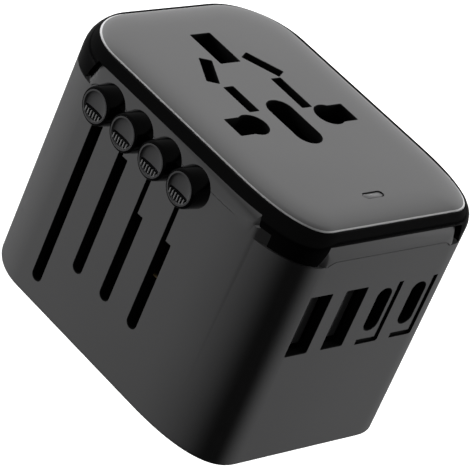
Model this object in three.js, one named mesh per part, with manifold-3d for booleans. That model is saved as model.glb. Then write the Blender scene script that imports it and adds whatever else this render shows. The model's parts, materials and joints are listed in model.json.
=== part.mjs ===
// Universal travel adapter: a block with a multi-standard socket on top, four slide knobs on the left
// side that push out four sets of plug pins below, and four charging ports in front.
// Millimetres, +Z up. The origin is the centre of the flat base, where the pins come out.
// +X is to the right of the ports, the ports face -Y and the slide knobs face -X.

import * as THREE from 'three';
import { mergeVertices } from 'three/addons/utils/BufferGeometryUtils.js';
import Module from 'manifold-3d';

const wasm = await Module();
wasm.setup();

// ---------------------------------------------------------------- driving dimensions

const BODY = { width: 50.5, depth: 68.5, height: 51.2 };
const CORNER = { backRadius: 14, across: 10, along: 20.5, power: 2.5 };
const CORNER_STEPS = 9;
const WALL = 1.8;
const GAP = 0.3;
const CLEAR = 0.6;

const SPLIT_Z = 44.2;
const CREASE = { side: 45.7, end: 45.2 };
const TAB_TOP = { side: 48.7, end: 47.5 };
const TAB_LEAN = 1.5;
const TAB = { side: [-23.6, 22], end: [-17.5, 15.7], spread: 1.2, corner: 1 };
const RING_TOP = 50.5;
const PLATE = { inset: [2.35, 1.65], bottom: 48.9, bevelFrom: 50.4, bevel: 0.8 };
const BASE_THICK = 1.9;

const SOCKET_Y = -3.2;
const EARTH_SLOT = { x: 0, y: SOCKET_Y + 22.23, width: 4.8, height: 9 };
const BLADE_SLOT = { x: 6.3, y: SOCKET_Y + 7.27, width: 2.3, left: 7.46, right: 8.96 };
const SLANT_SLOT = {
  x: 6.71, y: SOCKET_Y + 16.08, width: 2.4, height: 7.54, turn: THREE.MathUtils.degToRad(29),
};
const PIN_HOLE = { outer: 14.65, inner: 9, height: 4.8, roundX: 9.5, radius: 2.9 };
const OVAL = { y: SOCKET_Y - 0.65, width: 5.5, height: 13 };
const LENS = { y: -25.7, width: 4.6, height: 1.3 };

const KNOB = {
  z: 43.5, radius: 3.9, tipRadius: 3.5, length: 3.9, stand: 0.9, edge: 0.5, aside: -1.8, above: 1.4,
};
const STEM = { thick: 0.5, half: 1.5, shift: 0.75 };
const LANE_PITCH = 8.1;
const FIRST_LANE_Y = 16.35;
const SLOT = { width: 2.4, slit: 0.9, top: 45.7, spare: 0.64, knobTravel: 28.8, longTravel: 36.7 };

const HOUSING = { outer: -22.6, inner: -16.6, half: 2.2, bottom: 41.1, top: 45.9, pocket: 1.6, floor: 1 };
const ARM_THICK = 2.2;
const DECK = { low: 31, high: 33.2, longLow: 38.9, longHigh: 41.1 };
const TANG = 0.8;

const PORT = { bottom: 24.9, top: 37.7, wide: 5.3, shellBack: -20, shellThick: 0.35 };
const PORT_C = { bottom: 27.3, top: 36.6, wide: 3.44 };
const GROOVE = { wide: 0.9, deep: 0.6 };
const BOSS = { radius: 3, hole: 1.1, top: 16 };
const BOARD = { back: -17.4, front: -19, half: 20.6, top: 41 };

// ---------------------------------------------------------------- finishes

const FINISHES = {
  shellPlastic: { color: 0x39393b, roughness: 0.55, metalness: 0 },
  platePlastic: { color: 0x58585a, roughness: 0.65, metalness: 0 },
  glossPlastic: { color: 0x060607, roughness: 0.12, metalness: 0 },
  innerPlastic: { color: 0x1d1d1f, roughness: 0.6, metalness: 0 },
  frame: { color: 0x303032, roughness: 0.6, metalness: 0 },
  brass: { color: 0xb99a4c, roughness: 0.35, metalness: 1 },
  nickel: { color: 0xb8b9bb, roughness: 0.3, metalness: 1 },
  steel: { color: 0x8c8d90, roughness: 0.35, metalness: 1 },
  board: { color: 0x1f5a38, roughness: 0.5, metalness: 0 },
  ferrite: { color: 0x2a2a2c, roughness: 0.8, metalness: 0 },
  tape: { color: 0xc9a526, roughness: 0.5, metalness: 0 },
  canMetal: { color: 0x33363b, roughness: 0.4, metalness: 0.3 },
  ceramic: { color: 0xdedcd4, roughness: 0.4, metalness: 0 },
  lens: { color: 0x77777a, roughness: 0.2, metalness: 0 },
};

// ---------------------------------------------------------------- solids

const X = new THREE.Vector3(1, 0, 0);
const Y = new THREE.Vector3(0, 1, 0);
const Z = new THREE.Vector3(0, 0, 1);

function solid(geometry) {
  const bare = geometry.clone();
  bare.deleteAttribute('normal');
  bare.deleteAttribute('uv');
  const merged = mergeVertices(bare, 1e-4);
  return new wasm.Manifold(new wasm.Mesh({
    numProp: 3,
    vertProperties: Float32Array.from(merged.attributes.position.array),
    triVerts: Uint32Array.from(merged.index.array),
  }));
}

function geometryOf(body) {
  const mesh = body.getMesh();
  const geometry = new THREE.BufferGeometry();
  geometry.setAttribute('position', new THREE.BufferAttribute(mesh.vertProperties, 3));
  geometry.setIndex(new THREE.BufferAttribute(mesh.triVerts, 1));
  geometry.computeVertexNormals();
  return geometry;
}

function join(...bodies) {
  return bodies.reduce((whole, body) => whole.add(body));
}

function cut(body, ...cutters) {
  return cutters.reduce((whole, cutter) => whole.subtract(cutter), body);
}

function box([x0, x1], [y0, y1], [z0, z1]) {
  const geometry = new THREE.BoxGeometry(x1 - x0, y1 - y0, z1 - z0);
  return solid(geometry.translate((x0 + x1) / 2, (y0 + y1) / 2, (z0 + z1) / 2));
}

function cylinder(radius, [x, y], [z0, z1], sides = 16) {
  const geometry = new THREE.CylinderGeometry(radius, radius, z1 - z0, sides);
  return solid(geometry.rotateX(Math.PI / 2).translate(x, y, (z0 + z1) / 2));
}

// A flat shape pushed through a thickness: up Z, along X (shape drawn in y, z) or along Y (in x, z).
function prism(shape, along, [from, to], curveSegments = 6) {
  const geometry = new THREE.ExtrudeGeometry(shape, {
    depth: to - from, bevelEnabled: false, curveSegments, steps: 1,
  });
  const turn = {
    z: () => new THREE.Matrix4().makeBasis(X, Y, Z).setPosition(0, 0, from),
    x: () => new THREE.Matrix4().makeBasis(Y, Z, X).setPosition(from, 0, 0),
    y: () => new THREE.Matrix4().makeBasis(X, Z, Y.clone().negate()).setPosition(0, to, 0),
  }[along];
  return solid(geometry.applyMatrix4(turn()));
}

function polygon(points) {
  return new THREE.Shape(points.map(([u, v]) => new THREE.Vector2(u, v)));
}

function rectangle([u, v], width, height, turn = 0) {
  const corners = [[-1, -1], [1, -1], [1, 1], [-1, 1]];
  const centre = new THREE.Vector2();
  return new THREE.Shape(corners.map(([s, t]) => new THREE.Vector2(
    u + (s * width) / 2,
    v + (t * height) / 2,
  ).rotateAround(centre.set(u, v), turn)));
}

// A slot with two round ends, long way up.
function stadium([u, v], width, height) {
  const radius = width / 2;
  const reach = height / 2 - radius;
  const shape = new THREE.Shape();
  shape.absarc(u, v + reach, radius, 0, Math.PI, false);
  shape.absarc(u, v - reach, radius, Math.PI, 2 * Math.PI, false);
  return shape;
}

// The body's plan: round back corners, and front corners that draw in slowly from the sides.
function planOutline([insetX, insetY]) {
  const halfWidth = BODY.width / 2 - insetX;
  const halfDepth = BODY.depth / 2 - insetY;
  const radius = CORNER.backRadius - insetX;
  const across = CORNER.across - insetX;
  const along = CORNER.along - insetY;
  const right = [];
  for (let step = 0; step <= CORNER_STEPS; step += 1) {
    const angle = ((step / CORNER_STEPS) * Math.PI) / 2;
    right.push(new THREE.Vector2(
      halfWidth - across + across * Math.sin(angle) ** (2 / CORNER.power),
      along - halfDepth - along * Math.abs(Math.cos(angle)) ** (2 / CORNER.power),
    ));
  }
  for (let step = 0; step <= CORNER_STEPS; step += 1) {
    const angle = ((step / CORNER_STEPS) * Math.PI) / 2;
    right.push(new THREE.Vector2(
      halfWidth - radius + radius * Math.cos(angle),
      halfDepth - radius + radius * Math.sin(angle),
    ));
  }
  const left = right.map((point) => new THREE.Vector2(-point.x, point.y)).reverse();
  return [...right, ...left];
}

// Stacks the plan outline at several heights, each with its own inset, into one closed solid.
function loft(levels) {
  const rings = levels.map(([, inset]) => planOutline(inset));
  const count = rings[0].length;
  const positions = rings.flatMap((ring, level) => ring.flatMap((p) => [p.x, p.y, levels[level][0]]));
  const index = [];
  for (let level = 0; level < rings.length - 1; level += 1) {
    for (let side = 0; side < count; side += 1) {
      const here = level * count + side;
      const next = level * count + ((side + 1) % count);
      index.push(here, next, next + count, here, next + count, here + count);
    }
  }
  const topStart = (rings.length - 1) * count;
  for (const [a, b, c] of THREE.ShapeUtils.triangulateShape(rings[0], [])) index.push(a, c, b);
  for (const [a, b, c] of THREE.ShapeUtils.triangulateShape(rings.at(-1), [])) {
    index.push(topStart + a, topStart + b, topStart + c);
  }
  const geometry = new THREE.BufferGeometry();
  geometry.setAttribute('position', new THREE.Float32BufferAttribute(positions, 3));
  geometry.setIndex(index);
  return solid(geometry);
}

const even = (inset) => [inset, inset];

const adapter = new THREE.Group();

function addPart(name, body, finish, place = [0, 0, 0]) {
  const geometry = body.isBufferGeometry ? body : geometryOf(body);
  const mesh = new THREE.Mesh(geometry, new THREE.MeshStandardMaterial(FINISHES[finish]));
  mesh.name = name;
  mesh.position.set(...place);
  adapter.add(mesh);
}

// ---------------------------------------------------------------- the socket's holes

// The live or neutral hole: square outside, with a round bulge towards the middle.
function pinHole(side, grow = 0) {
  const half = PIN_HOLE.height / 2 + grow;
  const xs = [side * PIN_HOLE.inner, side * (PIN_HOLE.outer + grow)].sort((a, b) => a - b);
  const heights = [PLATE.bottom - BODY.height, BODY.height + 1];
  return join(
    box(xs, [SOCKET_Y - half, SOCKET_Y + half], heights),
    cylinder(PIN_HOLE.radius + grow, [side * PIN_HOLE.roundX, SOCKET_Y], heights, 20),
  );
}

function socketHoles(grow = 0) {
  const heights = [PLATE.bottom - BODY.height, BODY.height + 1];
  const wide = (value) => value + 2 * grow;
  const slot = ({ x, y, width, turn = 0 }, height, side = 1) => (
    rectangle([side * x, y], wide(width), wide(height), side * turn)
  );
  const shapes = [
    slot(EARTH_SLOT, EARTH_SLOT.height),
    slot(BLADE_SLOT, BLADE_SLOT.left, -1),
    slot(BLADE_SLOT, BLADE_SLOT.right),
    slot(SLANT_SLOT, SLANT_SLOT.height, -1),
    slot(SLANT_SLOT, SLANT_SLOT.height),
    stadium([0, OVAL.y], wide(OVAL.width), wide(OVAL.height)),
  ];
  return [pinHole(-1, grow), pinHole(1, grow), ...shapes.map((shape) => prism(shape, 'z', heights))];
}

// ---------------------------------------------------------------- the four lanes

const LANES = ['eu', 'uk', 'au', 'us'].map((name, number) => ({
  name,
  y: FIRST_LANE_Y - number * LANE_PITCH,
  travel: number === 0 ? SLOT.longTravel : SLOT.knobTravel,
  slitTo: [SLOT.top, 37.5, 31, 31][number],
}));

// The slot a knob runs in: full width low down, narrow above where the lane has a slit.
function laneSlot({ y, travel, slitTo }) {
  const bottom = KNOB.z - travel - STEM.half - SLOT.spare;
  const radius = SLOT.width / 2;
  const through = [-BODY.width, -BODY.width / 4];
  if (slitTo === SLOT.top) {
    return prism(stadium([y, (bottom + SLOT.top) / 2], SLOT.width, SLOT.top - bottom), 'x', through);
  }
  const shape = new THREE.Shape();
  shape.absarc(y, bottom + radius, radius, Math.PI, 2 * Math.PI, false);
  shape.lineTo(y + radius, SLOT.top);
  shape.lineTo(y + radius - SLOT.slit, SLOT.top);
  shape.lineTo(y + radius - SLOT.slit, slitTo);
  shape.lineTo(y - radius, slitTo);
  return prism(shape, 'x', through);
}

// ---------------------------------------------------------------- outer casing

const PORTS_A = [-13.3, -4.4];
const PORTS_C = [3.73, 12.6];
const GROOVES = [{ x: 6.9, left: 1.76 }, { x: 15.8, left: 10.63 }];
const FRONT = -BODY.depth / 2;
const BOSS_PLACES = [[-19.8, -24], [19.8, -24]];
const POST_PLACES = [[-11, 20], [15.5, 20]];
const MIDDLE_Z = (PORT.bottom + PORT.top) / 2;

// The four gaps between the ring's legs, which the casing's tabs fill.
function tabWindows(grow) {
  const low = SPLIT_Z - 2;
  const { spread, corner } = TAB;
  const window = ([from, to], top) => polygon([
    [from - spread - grow, low], [to + spread + grow, low],
    [to + grow, top - corner + grow], [to - corner + grow, top + grow],
    [from + corner - grow, top + grow], [from - grow, top - corner + grow],
  ]);
  const side = window(TAB.side, TAB_TOP.side);
  const end = window(TAB.end, TAB_TOP.end);
  const reach = WALL * 2;
  return [
    prism(side, 'x', [-BODY.width, -BODY.width / 2 + reach]),
    prism(side, 'x', [BODY.width / 2 - reach, BODY.width]),
    prism(end, 'y', [-BODY.depth, FRONT + reach]),
    prism(end, 'y', [-FRONT - reach, BODY.depth]),
  ];
}

function outerShell() {
  const edge = 1.2;
  const cup = loft([
    [0, even(edge)],
    [0.16, even(0.6)],
    [0.6, even(0.16)],
    [edge, even(0)],
    [SPLIT_Z, even(0)],
  ]);
  const leaning = loft([
    [SPLIT_Z - 1, even(0)],
    [CREASE.end, even(0)],
    [TAB_TOP.side, even(TAB_LEAN)],
  ]);
  const tabs = join(...tabWindows(0).map((window) => leaning.intersect(window)));
  const inside = loft([
    [-1, even(WALL)],
    [SPLIT_Z + 1, even(WALL)],
    [TAB_TOP.side + 1, even(WALL + TAB_LEAN)],
  ]);
  const bosses = BOSS_PLACES.map((place) => cylinder(BOSS.radius, place, [BASE_THICK + GAP, BOSS.top]));
  const bossHoles = BOSS_PLACES.map((place) => cylinder(BOSS.hole, place, [0, BOSS.top - 2]));
  const faceCut = [FRONT - 1, FRONT + 2 * WALL];
  const portsA = PORTS_A.map((x) => prism(
    rectangle([x, MIDDLE_Z], PORT.wide, PORT.top - PORT.bottom), 'y', faceCut,
  ));
  const portsC = PORTS_C.map((x) => prism(
    stadium([x, (PORT_C.bottom + PORT_C.top) / 2], PORT_C.wide, PORT_C.top - PORT_C.bottom), 'y', faceCut,
  ));
  const grooveDepth = [FRONT - 1, FRONT + GROOVE.deep];
  const grooves = GROOVES.map(({ x, left }) => prism(polygon([
    [left, PORT.bottom - GROOVE.wide / 2],
    [x, PORT.bottom - GROOVE.wide / 2],
    [x + GROOVE.wide / 2, PORT.bottom],
    [x + GROOVE.wide / 2, PORT.top],
    [x - GROOVE.wide / 2, PORT.top],
    [x - GROOVE.wide / 2, PORT.bottom + GROOVE.wide / 2],
    [left, PORT.bottom + GROOVE.wide / 2],
  ]), 'y', grooveDepth));
  const hollow = cut(join(cup, tabs), inside);
  const filled = join(hollow, ...bosses.map((boss) => boss.intersect(cup)));
  return cut(filled, ...bossHoles, ...portsA, ...portsC, ...grooves, ...LANES.map(laneSlot));
}

function topRing() {
  const outside = loft([
    [SPLIT_Z + GAP, even(0)],
    [47, even(0.15)],
    [48.6, even(0.5)],
    [49.8, [1.1, 0.9]],
    [RING_TOP, [1.8, 1.2]],
  ]);
  const recess = loft([
    [PLATE.bottom - GAP, [PLATE.inset[0] - GAP, PLATE.inset[1] - GAP]],
    [RING_TOP + 1, [PLATE.inset[0] - GAP, PLATE.inset[1] - GAP]],
  ]);
  const throat = loft([
    [SPLIT_Z - 1, even(WALL)],
    [46, even(WALL)],
    [47.4, even(4)],
    [RING_TOP, even(4)],
  ]);
  return cut(outside, recess, throat, ...tabWindows(GAP));
}

function socketPlate() {
  const [insetX, insetY] = PLATE.inset;
  const slab = loft([
    [PLATE.bottom, PLATE.inset],
    [PLATE.bevelFrom, PLATE.inset],
    [BODY.height, [insetX + PLATE.bevel, insetY + PLATE.bevel]],
  ]);
  const lensHole = prism(
    stadium([0, 0], LENS.height + 2 * GAP, LENS.width + 2 * GAP), 'z', [PLATE.bottom - 1, BODY.height + 1],
  ).rotate([0, 0, 90]).translate([0, LENS.y, 0]);
  return cut(slab, lensHole, ...socketHoles());
}

function statusLens() {
  const shape = stadium([0, 0], LENS.height, LENS.width);
  return prism(shape, 'z', [PLATE.bottom, BODY.height - 0.15]).rotate([0, 0, 90]).translate([0, LENS.y, 0]);
}

addPart('outer_shell', outerShell(), 'shellPlastic');
addPart('top_ring', topRing(), 'glossPlastic');
addPart('socket_plate', socketPlate(), 'platePlastic');
addPart('status_lens', statusLens(), 'lens');

// ---------------------------------------------------------------- pins

const EU_PIN = { x: 9.5, y: 27.8, radius: 2, out: 19 };
const UK_PIN = { x: 11.1, y: -12.63, width: 6.35, height: 4, out: 17.7 };
const UK_EARTH = { x: 0, y: 9.6, width: 4, height: 8, out: 22.7 };
const AU_BLADE = { x: 6.85, y: 1.6, width: 1.6, height: 6.35, out: 17, turn: THREE.MathUtils.degToRad(30) };
const US_BLADE = { x: 6.35, y: -6.2, width: 1.5, height: 6.35, out: 17 };
const TAPER = 0.8;

// A flat pin: drawn-in tip, straight shank and a round tang that goes up through its carriage.
function flatPin({ x, y, width, height, out, turn = 0 }, side) {
  const bottom = DECK.low - BASE_THICK - GAP - out;
  const top = DECK.low - GAP;
  const tip = 1.2;
  const half = { x: width / 2, y: height / 2 };
  const shank = box([-half.x, half.x], [-half.y, half.y], [bottom + tip, top]);
  const nose = new THREE.CylinderGeometry(Math.SQRT1_2, TAPER * Math.SQRT1_2, tip, 4);
  nose.rotateY(Math.PI / 4).rotateX(Math.PI / 2).scale(width, height, 1);
  nose.translate(0, 0, bottom + tip / 2);
  const tang = cylinder(TANG, [0, 0], [top - 1, DECK.high], 10);
  const degrees = THREE.MathUtils.radToDeg(side * turn);
  return join(shank, solid(nose), tang).rotate([0, 0, degrees]).translate([side * x, y, 0]);
}

function euPin(side) {
  const bottom = DECK.longLow - BASE_THICK - GAP - EU_PIN.out;
  const { radius } = EU_PIN;
  const profile = [
    [0, bottom], [radius * 0.5, bottom], [radius * 0.87, bottom + 0.5], [radius, bottom + 1.4],
    [radius, DECK.longLow - GAP], [TANG, DECK.longLow - GAP], [TANG, DECK.longHigh], [0, DECK.longHigh],
  ].map(([r, z]) => new THREE.Vector2(r, z));
  return solid(new THREE.LatheGeometry(profile, 16).rotateX(Math.PI / 2))
    .translate([side * EU_PIN.x, EU_PIN.y, 0]);
}

function tangHole(x, y) {
  return cylinder(TANG + GAP, [x, y], [DECK.low - 1, DECK.longHigh + 1], 10);
}

const SIDES = { left: -1, right: 1 };

for (const [where, side] of Object.entries(SIDES)) {
  addPart(`eu_pin_${where}`, euPin(side), 'nickel');
  addPart(`uk_pin_${where}`, flatPin(UK_PIN, side), 'brass');
  addPart(`au_blade_${where}`, flatPin(AU_BLADE, side), 'brass');
  addPart(`us_blade_${where}`, flatPin(US_BLADE, side), 'brass');
}
addPart('uk_earth_pin', flatPin(UK_EARTH, 1), 'brass');

// ---------------------------------------------------------------- base plate

const SCREW = { head: 1.7, shank: 0.8, headHigh: 1.1, length: 9 };
const SCREW_PLACES = [...BOSS_PLACES, ...POST_PLACES];

function basePlate() {
  const slab = loft([[0, even(WALL + GAP)], [BASE_THICK, even(WALL + GAP)]]);
  const through = [-1, BASE_THICK + 1];
  const room = 2 * CLEAR;
  const sides = Object.values(SIDES);
  const round = sides.map((side) => cylinder(EU_PIN.radius + CLEAR, [side * EU_PIN.x, EU_PIN.y], through));
  const flat = [UK_PIN, AU_BLADE, US_BLADE].flatMap(({ x, y, width, height, turn = 0 }) => sides.map(
    (side) => prism(rectangle([side * x, y], width + room, height + room, side * turn), 'z', through),
  ));
  const earth = prism(
    rectangle([UK_EARTH.x, UK_EARTH.y], UK_EARTH.width + room, UK_EARTH.height + room), 'z', through,
  );
  const screwHoles = SCREW_PLACES.flatMap((place) => [
    cylinder(SCREW.head + GAP, place, [-1, SCREW.headHigh + GAP]),
    cylinder(SCREW.shank + GAP, place, through),
  ]);
  return cut(slab, ...round, ...flat, earth, ...screwHoles);
}

// A case screw with a cross recess, its head a little below the base.
function caseScrew() {
  const under = 0.15;
  const head = cylinder(SCREW.head, [0, 0], [under, SCREW.headHigh]);
  const shank = cylinder(SCREW.shank, [0, 0], [SCREW.headHigh - GAP, SCREW.length], 10);
  const recess = [under - 1, under + 0.6];
  const long = [-1, 1];
  const thin = [-0.2, 0.2];
  return cut(join(head, shank), box(long, thin, recess), box(thin, long, recess));
}

addPart('base_plate', basePlate(), 'shellPlastic');
SCREW_PLACES.forEach(([x, y], number) => {
  addPart(`case_screw_${number + 1}`, caseScrew(), 'steel', [x, y, 0]);
});

// ---------------------------------------------------------------- pin carriages

// The spring housing behind a knob, with its arm down to the deck that carries the pins.
function laneHousing({ y }, deckHigh) {
  const across = [y - HOUSING.half, y + HOUSING.half];
  const block = box([HOUSING.outer, HOUSING.inner], across, [HOUSING.bottom, HOUSING.top]);
  const arm = box([HOUSING.outer, HOUSING.outer + ARM_THICK], across, [deckHigh - 1, HOUSING.bottom + 1]);
  const pocket = box(
    [HOUSING.outer - 1, HOUSING.inner - HOUSING.floor],
    [y - HOUSING.pocket, y + HOUSING.pocket],
    [KNOB.z - HOUSING.pocket - GAP, KNOB.z + HOUSING.pocket + GAP],
  );
  return { body: join(block, arm), pocket };
}

function carriage(lane, decks, pinPlaces, deckHigh) {
  const { body, pocket } = laneHousing(lane, deckHigh);
  const holes = pinPlaces.map(([x, y]) => tangHole(x, y));
  return cut(join(body, ...decks), pocket, ...holes);
}

function mirrored({ x, y }) {
  return [[-x, y], [x, y]];
}

function carriages() {
  const [eu, uk, au, us] = LANES;
  const level = [DECK.low, DECK.high];
  const high = [DECK.longLow, DECK.longHigh];
  const near = [HOUSING.outer, HOUSING.inner];
  return {
    eu_carriage: carriage(eu, [
      box(near, [eu.y - HOUSING.half, eu.y + HOUSING.half], [DECK.longLow, HOUSING.bottom + 1]),
      box([-18.2, -14.8], [eu.y - HOUSING.half, 30], high),
      box([-18.2, 12.4], [25.5, 30], high),
    ], mirrored(EU_PIN), DECK.longHigh),
    uk_carriage: carriage(uk, [
      box([HOUSING.outer, 19], [5.4, 13.9], level),
      box([14.6, 19], [-14.9, 6], level),
      box([-14.6, 19], [-14.9, -10.4], level),
    ], [...mirrored(UK_PIN), [UK_EARTH.x, UK_EARTH.y]], DECK.high),
    au_carriage: carriage(au, [
      box([HOUSING.outer, 10.5], [-1.7, 5.1], level),
    ], mirrored(AU_BLADE), DECK.high),
    us_carriage: carriage(us, [
      box([HOUSING.outer, 8.6], [-9.7, -2.7], level),
    ], mirrored(US_BLADE), DECK.high),
  };
}

for (const [name, body] of Object.entries(carriages())) addPart(name, body, 'innerPlastic');

// ---------------------------------------------------------------- knobs and their springs

// A slide knob: a thin stem through the slot with a square foot inside, and a round cap outside that is
// set a little above and in front of the stem.
function knob() {
  const face = -BODY.width / 2 - KNOB.stand;
  const tip = face - KNOB.length;
  const dish = 0.35;
  const profile = [
    [0, tip + dish], [KNOB.tipRadius * 0.55, tip + dish * 0.7], [KNOB.tipRadius - KNOB.edge, tip],
    [KNOB.tipRadius, tip + KNOB.edge], [KNOB.radius, face - KNOB.edge], [KNOB.radius - GAP, face], [0, face],
  ].map(([r, along]) => new THREE.Vector2(r, -along));
  const cap = solid(new THREE.LatheGeometry(profile.reverse(), 28).rotateZ(Math.PI / 2))
    .translate([0, KNOB.aside, KNOB.above]);
  const foot = { outer: HOUSING.outer + CLEAR, inner: HOUSING.outer + CLEAR + 1, half: 1.3 };
  const stemAcross = [STEM.shift - STEM.thick / 2, STEM.shift + STEM.thick / 2];
  return join(
    cap,
    box([face - 1, foot.inner], stemAcross, [-STEM.half, STEM.half]),
    box([foot.outer, foot.inner], [-foot.half, foot.half], [-foot.half, foot.half]),
  );
}

class Helix extends THREE.Curve {
  constructor(radius, length, turns) {
    super();
    Object.assign(this, { radius, length, turns });
  }

  getPoint(t, target = new THREE.Vector3()) {
    const angle = 2 * Math.PI * this.turns * t;
    return target.set(this.length * t, this.radius * Math.cos(angle), this.radius * Math.sin(angle));
  }
}

function spring(radius, length, turns, wire) {
  const section = new THREE.Shape();
  section.absarc(0, 0, wire, 0, 2 * Math.PI, false);
  return new THREE.ExtrudeGeometry(section, {
    extrudePath: new Helix(radius, length, turns), steps: turns * 9, curveSegments: 3, bevelEnabled: false,
  });
}

const KNOB_SPRING = { radius: 0.95, wire: 0.2, turns: 4, from: -20.4, to: -18.1 };

for (const { name, y } of LANES) {
  const { radius, wire, turns, from, to } = KNOB_SPRING;
  addPart(`${name}_knob`, knob(), 'glossPlastic', [0, y, KNOB.z]);
  addPart(`${name}_knob_spring`, spring(radius, to - from, turns, wire), 'steel', [from, y, KNOB.z]);
}

// ---------------------------------------------------------------- safety shutter

const SHUTTER = { low: 45.3, high: 46.5, front: -13.6, bridge: 2.4, back: 0.2, tab: [6.2, 15.1] };
const SHUTTER_SPRING = { radius: 0.65, wire: 0.15, turns: 7, from: -22.2, to: -14 };

function safetyShutter() {
  const { low, high, front, bridge, back, tab } = SHUTTER;
  const heights = [low, high];
  const leg = [tab[0], tab[0] + 2.4];
  return join(
    box([-leg[1], leg[1]], [front, front + bridge], heights),
    ...[-1, 1].flatMap((side) => {
      const order = (range) => range.map((value) => side * value).sort((a, b) => a - b);
      return [
        box(order(leg), [front, SOCKET_Y], heights),
        box(order(tab), [SOCKET_Y - 3.3, back], heights),
      ];
    }),
  );
}

function shutterSpring() {
  const { radius, wire, turns, from, to } = SHUTTER_SPRING;
  return spring(radius, to - from, turns, wire).rotateZ(Math.PI / 2).translate(0, from, 0);
}

addPart('safety_shutter', safetyShutter(), 'innerPlastic');
addPart('shutter_spring', shutterSpring(), 'steel', [0, 0, (SHUTTER.low + SHUTTER.high) / 2]);

// ---------------------------------------------------------------- socket contacts and their carrier

const CARRIER = { low: 43.4, high: 44.8, left: -14.2, right: 20.5, front: -24.2, back: 24.8 };
const CONTACT = { low: 35, high: 43, thick: 0.6, front: 0.1, back: 8.2, outer: 14.2 };

function contactCarrier() {
  const { low, high, left, right, front, back } = CARRIER;
  const stop = { half: 2.2, thick: 1.4 };
  const table = join(
    box([left, right], [front, back], [low, high]),
    box([-20, left + 1], [front, -10.8], [low, high]),
    box([-stop.half, stop.half], [front, front + stop.thick], [low, SHUTTER.high]),
  );
  return cut(table, ...socketHoles(GAP));
}

// A stamped strip: one leaf for the square pins, one for the flat blades, and a bar down to the pins.
function lineContact(side) {
  const { low, high, thick, front, back, outer } = CONTACT;
  const blade = 7.9;
  const bar = { from: 10, to: 13, back: 14.85 };
  const place = ([x0, x1], ys, zs) => box(side > 0 ? [x0, x1] : [-x1, -x0], ys, zs);
  return join(
    place([outer - thick, outer], [front, back], [low, high]),
    place([8.9, outer], [front, front + thick], [low, high]),
    place([blade, blade + thick], [front + 1, back], [low, high]),
    place([blade, outer], [front, back], [low, low + thick]),
    place([bar.from, bar.to], [back - 1, bar.back], [low, low + thick]),
    place([bar.from, bar.to], [bar.back - thick, bar.back], [5, low + thick]),
  );
}

function earthContact() {
  const { low, high, thick } = CONTACT;
  const inner = 3;
  const ys = [17.6, 24.2];
  return join(
    box([-inner - thick, -inner], ys, [low, high]),
    box([inner, inner + thick], ys, [low, high]),
    box([-inner - thick, inner + thick], [ys[1] - thick, ys[1]], [29, high]),
  );
}

addPart('contact_carrier', contactCarrier(), 'frame');
addPart('line_contact', lineContact(-1), 'brass');
addPart('neutral_contact', lineContact(1), 'brass');
addPart('earth_contact', earthContact(), 'brass');

// ---------------------------------------------------------------- inner frame

const COLUMN = { left: -13.5, right: 18.6, front: 15.2, back: 24.8, low: BASE_THICK + GAP, high: 28 };

function innerFrame() {
  const { left, right, front, back, low, high } = COLUMN;
  const under = CARRIER.low - GAP;
  const pocketFloor = 12;
  const column = join(
    box([left, right], [front, back], [low, high]),
    box([left, left + 2.6], [18, back], [high - 1, under]),
    box([right - 3.2, right], [front + 1, back], [high - 1, under]),
    box([20, 21.8], [-14, back - 3], [low, under]),
    box([right - 1, 21], [front, back - 3], [low, high]),
  );
  return cut(
    column,
    box([-8, 0.5], [front + 2, back - 2], [pocketFloor, high + 1]),
    box([2.5, 12], [front + 2, back - 2], [pocketFloor, high + 1]),
    ...POST_PLACES.map((place) => cylinder(BOSS.hole, place, [0, SCREW.length + 1])),
  );
}

addPart('inner_frame', innerFrame(), 'frame');

// ---------------------------------------------------------------- charging electronics

function usbBoard() {
  return box([-BOARD.half, BOARD.half], [BOARD.front, BOARD.back], [BASE_THICK + 1, BOARD.top]);
}

const SHELL_FRONT = FRONT + WALL + GAP;

// A square port shell: a folded metal sleeve open at the front and the back.
function portShell(x) {
  const outerWide = PORT.wide + PORT.shellThick;
  const outerHigh = PORT.top - PORT.bottom + PORT.shellThick;
  return cut(
    prism(rectangle([x, MIDDLE_Z], outerWide, outerHigh), 'y', [SHELL_FRONT, PORT.shellBack]),
    prism(
      rectangle([x, MIDDLE_Z], outerWide - 2 * PORT.shellThick, outerHigh - 2 * PORT.shellThick),
      'y', [SHELL_FRONT - 1, PORT.shellBack + 1],
    ),
  );
}

function portTongue(x) {
  const tongue = { offset: 1.2, thick: 2, high: 11.4, front: FRONT + 2 };
  return box(
    [x + tongue.offset - tongue.thick / 2, x + tongue.offset + tongue.thick / 2],
    [tongue.front, PORT.shellBack],
    [MIDDLE_Z - tongue.high / 2, MIDDLE_Z + tongue.high / 2],
  );
}

const MIDDLE_C = (PORT_C.bottom + PORT_C.top) / 2;
const HIGH_C = PORT_C.top - PORT_C.bottom;

function smallShell(x) {
  return cut(
    prism(stadium([x, MIDDLE_C], PORT_C.wide + PORT.shellThick, HIGH_C + PORT.shellThick), 'y',
      [SHELL_FRONT, PORT.shellBack]),
    prism(stadium([x, MIDDLE_C], PORT_C.wide - PORT.shellThick, HIGH_C - PORT.shellThick), 'y',
      [SHELL_FRONT - 1, PORT.shellBack + 1]),
  );
}

function smallTongue(x) {
  const tongue = { thick: 0.7, high: 6.6, front: FRONT + 2.6 };
  return box(
    [x - tongue.thick / 2, x + tongue.thick / 2],
    [tongue.front, PORT.shellBack],
    [MIDDLE_C - tongue.high / 2, MIDDLE_C + tongue.high / 2],
  );
}

const TRANSFORMER = { x: -6, y: -25.4, z: 13, core: [16, 8.6, 13] };

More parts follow.
